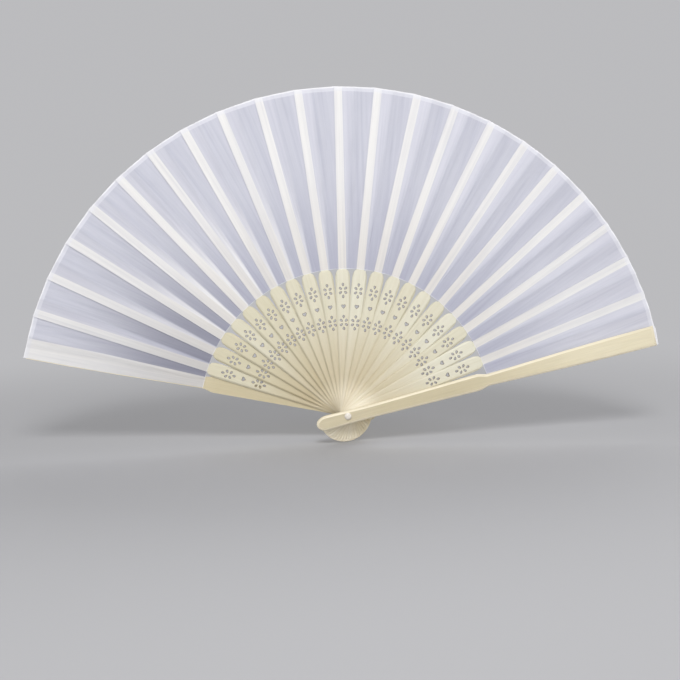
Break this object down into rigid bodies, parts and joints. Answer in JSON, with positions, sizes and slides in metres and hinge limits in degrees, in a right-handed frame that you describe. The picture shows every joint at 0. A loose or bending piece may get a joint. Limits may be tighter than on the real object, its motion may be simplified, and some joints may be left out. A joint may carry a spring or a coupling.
{
  "type": "folding fan",
  "caption": "Folding hand fan shown open: pierced bamboo sticks between wider guards turn on a rivet and carry a pleated silk leaf.",
  "frame": {"origin": "on the rivet's axis, halfway through the stack of sticks", "axes": "+X to the right along the open fan's width, +Y along the rivet away from the viewer, +Z from the rivet along the middle stick"},
  "size_m": [0.3775, 0.0248, 0.2096],
  "materials": {
    "guard_bamboo": "pale bamboo, sanded smooth with a low sheen",
    "stick_bamboo": "thin pale bamboo, bleached and waxed",
    "leaf_silk": "thin white silk, slightly see-through",
    "rivet_steel": "drawn wire",
    "washer_plastic": "white, glossy",
    "cap_plastic": "white, glossy dome"
  },
  "bodies": {
    "guard_rear": {"guard_rear": "guard_bamboo", "leaf_pleat_00": "leaf_silk"},
    "stick_01": {"stick_01": "stick_bamboo", "leaf_pleat_01": "leaf_silk"},
    "stick_02": {"stick_02": "stick_bamboo", "leaf_pleat_02": "leaf_silk"},
    "stick_03": {"stick_03": "stick_bamboo", "leaf_pleat_03": "leaf_silk"},
    "stick_04": {"stick_04": "stick_bamboo", "leaf_pleat_04": "leaf_silk"},
    "stick_05": {"stick_05": "stick_bamboo", "leaf_pleat_05": "leaf_silk"},
    "stick_06": {"stick_06": "stick_bamboo", "leaf_pleat_06": "leaf_silk"},
    "stick_07": {"stick_07": "stick_bamboo", "leaf_pleat_07": "leaf_silk"},
    "stick_08": {"stick_08": "stick_bamboo", "leaf_pleat_08": "leaf_silk"},
    "stick_09": {"stick_09": "stick_bamboo", "leaf_pleat_09": "leaf_silk"},
    "stick_10": {"stick_10": "stick_bamboo", "leaf_pleat_10": "leaf_silk"},
    "stick_11": {"stick_11": "stick_bamboo", "leaf_pleat_11": "leaf_silk", "rivet_pin": "rivet_steel", "rivet_washer": "washer_plastic", "rivet_cap": "cap_plastic"},
    "stick_12": {"stick_12": "stick_bamboo", "leaf_pleat_12": "leaf_silk"},
    "stick_13": {"stick_13": "stick_bamboo", "leaf_pleat_13": "leaf_silk"},
    "stick_14": {"stick_14": "stick_bamboo", "leaf_pleat_14": "leaf_silk"},
    "stick_15": {"stick_15": "stick_bamboo", "leaf_pleat_15": "leaf_silk"},
    "stick_16": {"stick_16": "stick_bamboo", "leaf_pleat_16": "leaf_silk"},
    "stick_17": {"stick_17": "stick_bamboo", "leaf_pleat_17": "leaf_silk"},
    "stick_18": {"stick_18": "stick_bamboo", "leaf_pleat_18": "leaf_silk"},
    "stick_19": {"stick_19": "stick_bamboo", "leaf_pleat_19": "leaf_silk"},
    "stick_20": {"stick_20": "stick_bamboo", "leaf_pleat_20": "leaf_silk"},
    "stick_21": {"stick_21": "stick_bamboo", "leaf_pleat_21": "leaf_silk"},
    "guard_front": {"guard_front": "guard_bamboo", "leaf_pleat_22": "leaf_silk"}
  },
  "joints": [
    {"name": "turn_stick_12", "type": "hinge", "parent": "stick_11", "child": "stick_12", "pos_m": [0, 0, 0], "axis": [0, -1, 0], "range_deg": [0, 7], "deforming": ["leaf_pleat_11"]},
    {"name": "turn_stick_13", "type": "hinge", "parent": "stick_12", "child": "stick_13", "pos_m": [0, 0, 0], "axis": [0, -1, 0], "range_deg": [0, 7], "deforming": ["leaf_pleat_12"]},
    {"name": "turn_stick_14", "type": "hinge", "parent": "stick_13", "child": "stick_14", "pos_m": [0, 0, 0], "axis": [0, -1, 0], "range_deg": [0, 7], "deforming": ["leaf_pleat_13"]},
    {"name": "turn_stick_15", "type": "hinge", "parent": "stick_14", "child": "stick_15", "pos_m": [0, 0, 0], "axis": [0, -1, 0], "range_deg": [0, 7], "deforming": ["leaf_pleat_14"]},
    {"name": "turn_stick_16", "type": "hinge", "parent": "stick_15", "child": "stick_16", "pos_m": [0, 0, 0], "axis": [0, -1, 0], "range_deg": [0, 7], "deforming": ["leaf_pleat_15"]},
    {"name": "turn_stick_17", "type": "hinge", "parent": "stick_16", "child": "stick_17", "pos_m": [0, 0, 0], "axis": [0, -1, 0], "range_deg": [0, 7], "deforming": ["leaf_pleat_16"]},
    {"name": "turn_stick_18", "type": "hinge", "parent": "stick_17", "child": "stick_18", "pos_m": [0, 0, 0], "axis": [0, -1, 0], "range_deg": [0, 7], "deforming": ["leaf_pleat_17"]},
    {"name": "turn_stick_19", "type": "hinge", "parent": "stick_18", "child": "stick_19", "pos_m": [0, 0, 0], "axis": [0, -1, 0], "range_deg": [0, 7], "deforming": ["leaf_pleat_18"]},
    {"name": "turn_stick_20", "type": "hinge", "parent": "stick_19", "child": "stick_20", "pos_m": [0, 0, 0], "axis": [0, -1, 0], "range_deg": [0, 7], "deforming": ["leaf_pleat_19"]},
    {"name": "turn_stick_21", "type": "hinge", "parent": "stick_20", "child": "stick_21", "pos_m": [0, 0, 0], "axis": [0, -1, 0], "range_deg": [0, 7], "deforming": ["leaf_pleat_20"]},
    {"name": "turn_guard_front", "type": "hinge", "parent": "stick_21", "child": "guard_front", "pos_m": [0, 0, 0], "axis": [0, -1, 0], "range_deg": [0, 7], "deforming": ["leaf_pleat_21"]},
    {"name": "turn_stick_10", "type": "hinge", "parent": "stick_11", "child": "stick_10", "pos_m": [0, 0, 0], "axis": [0, 1, 0], "range_deg": [0, 7], "deforming": ["leaf_pleat_10"]},
    {"name": "turn_stick_09", "type": "hinge", "parent": "stick_10", "child": "stick_09", "pos_m": [0, 0, 0], "axis": [0, 1, 0], "range_deg": [0, 7], "deforming": ["leaf_pleat_09"]},
    {"name": "turn_stick_08", "type": "hinge", "parent": "stick_09", "child": "stick_08", "pos_m": [0, 0, 0], "axis": [0, 1, 0], "range_deg": [0, 7], "deforming": ["leaf_pleat_08"]},
    {"name": "turn_stick_07", "type": "hinge", "parent": "stick_08", "child": "stick_07", "pos_m": [0, 0, 0], "axis": [0, 1, 0], "range_deg": [0, 7], "deforming": ["leaf_pleat_07"]},
    {"name": "turn_stick_06", "type": "hinge", "parent": "stick_07", "child": "stick_06", "pos_m": [0, 0, 0], "axis": [0, 1, 0], "range_deg": [0, 7], "deforming": ["leaf_pleat_06"]},
    {"name": "turn_stick_05", "type": "hinge", "parent": "stick_06", "child": "stick_05", "pos_m": [0, 0, 0], "axis": [0, 1, 0], "range_deg": [0, 7], "deforming": ["leaf_pleat_05"]},
    {"name": "turn_stick_04", "type": "hinge", "parent": "stick_05", "child": "stick_04", "pos_m": [0, 0, 0], "axis": [0, 1, 0], "range_deg": [0, 7], "deforming": ["leaf_pleat_04"]},
    {"name": "turn_stick_03", "type": "hinge", "parent": "stick_04", "child": "stick_03", "pos_m": [0, 0, 0], "axis": [0, 1, 0], "range_deg": [0, 7], "deforming": ["leaf_pleat_03"]},
    {"name": "turn_stick_02", "type": "hinge", "parent": "stick_03", "child": "stick_02", "pos_m": [0, 0, 0], "axis": [0, 1, 0], "range_deg": [0, 7], "deforming": ["leaf_pleat_02"]},
    {"name": "turn_stick_01", "type": "hinge", "parent": "stick_02", "child": "stick_01", "pos_m": [0, 0, 0], "axis": [0, 1, 0], "range_deg": [0, 7], "deforming": ["leaf_pleat_01"]},
    {"name": "turn_guard_rear", "type": "hinge", "parent": "stick_01", "child": "guard_rear", "pos_m": [0, 0, 0], "axis": [0, 1, 0], "range_deg": [0, 7], "deforming": ["leaf_pleat_00"]}
  ],
  "couplings": [
    {"joint": "turn_stick_13", "follows": "turn_stick_12", "ratio": 1},
    {"joint": "turn_stick_14", "follows": "turn_stick_12", "ratio": 1},
    {"joint": "turn_stick_15", "follows": "turn_stick_12", "ratio": 1},
    {"joint": "turn_stick_16", "follows": "turn_stick_12", "ratio": 1},
    {"joint": "turn_stick_17", "follows": "turn_stick_12", "ratio": 1},
    {"joint": "turn_stick_18", "follows": "turn_stick_12", "ratio": 1},
    {"joint": "turn_stick_19", "follows": "turn_stick_12", "ratio": 1},
    {"joint": "turn_stick_20", "follows": "turn_stick_12", "ratio": 1},
    {"joint": "turn_stick_21", "follows": "turn_stick_12", "ratio": 1},
    {"joint": "turn_guard_front", "follows": "turn_stick_12", "ratio": 1},
    {"joint": "turn_stick_10", "follows": "turn_stick_12", "ratio": 1},
    {"joint": "turn_stick_09", "follows": "turn_stick_12", "ratio": 1},
    {"joint": "turn_stick_08", "follows": "turn_stick_12", "ratio": 1},
    {"joint": "turn_stick_07", "follows": "turn_stick_12", "ratio": 1},
    {"joint": "turn_stick_06", "follows": "turn_stick_12", "ratio": 1},
    {"joint": "turn_stick_05", "follows": "turn_stick_12", "ratio": 1},
    {"joint": "turn_stick_04", "follows": "turn_stick_12", "ratio": 1},
    {"joint": "turn_stick_03", "follows": "turn_stick_12", "ratio": 1},
    {"joint": "turn_stick_02", "follows": "turn_stick_12", "ratio": 1},
    {"joint": "turn_stick_01", "follows": "turn_stick_12", "ratio": 1},
    {"joint": "turn_guard_rear", "follows": "turn_stick_12", "ratio": 1}
  ]
}
